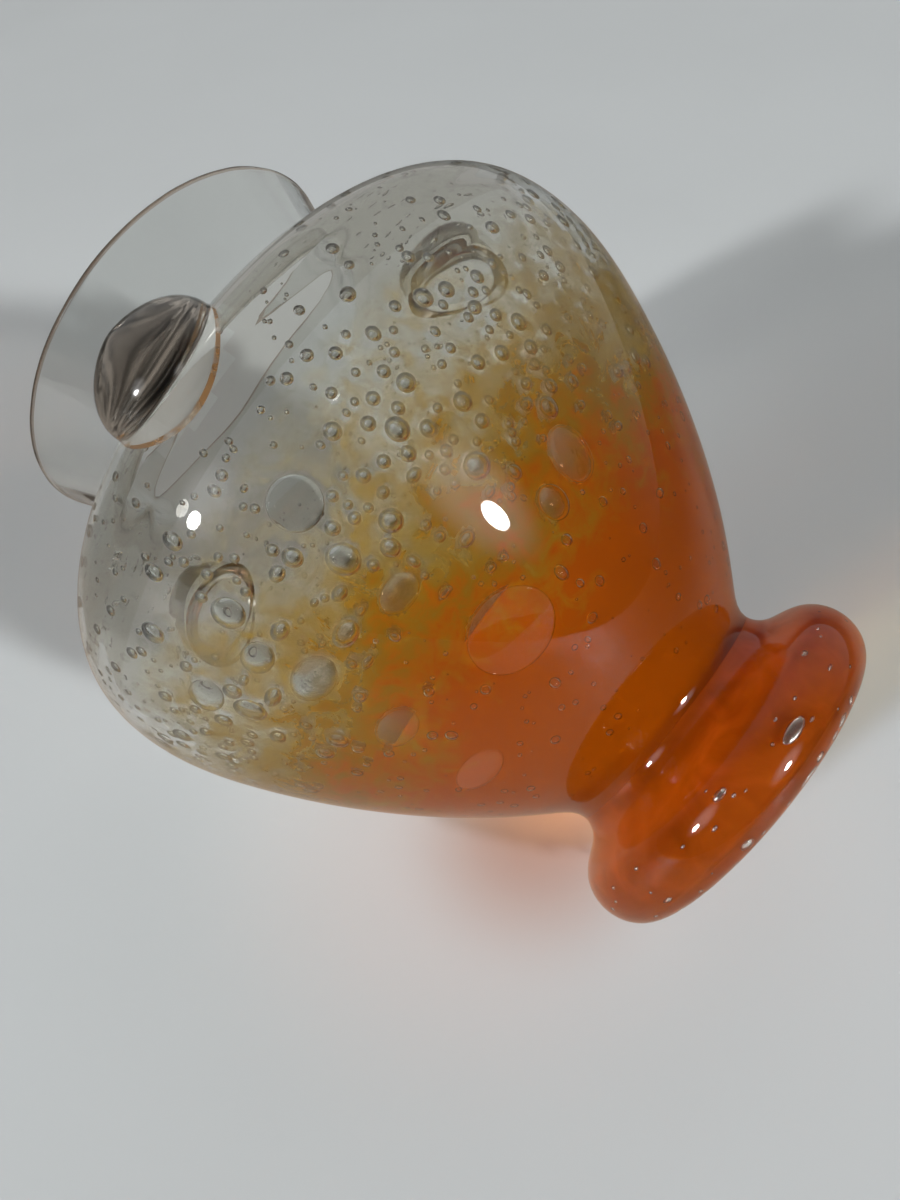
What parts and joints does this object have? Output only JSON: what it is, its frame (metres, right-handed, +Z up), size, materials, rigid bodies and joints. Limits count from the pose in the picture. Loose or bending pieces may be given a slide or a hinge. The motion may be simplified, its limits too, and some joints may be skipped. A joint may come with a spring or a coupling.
{
  "type": "footed glass vase",
  "caption": "Blown glass vase with an inverted-pear body fading from clear to orange, trapped bubbles, a flared collar, a rounded foot and applied knobs on the shoulder.",
  "frame": {"origin": "centre of the flat base of the foot", "axes": "+Z up along the axis of the vase, towards the mouth; knob 1 faces -Y"},
  "size_m": [0.2072, 0.2126, 0.2319],
  "materials": {
    "clear_glass": "gloss",
    "orange_glass": "gloss",
    "knob_glass": "gloss"
  },
  "bodies": {
    "root": {"body_casing": "clear_glass", "body_colour_layer": "orange_glass", "collar": "clear_glass", "foot_casing": "clear_glass", "foot_core": "orange_glass", "knob_1": "knob_glass", "knob_2": "knob_glass", "knob_3": "knob_glass"}
  },
  "joints": []
}
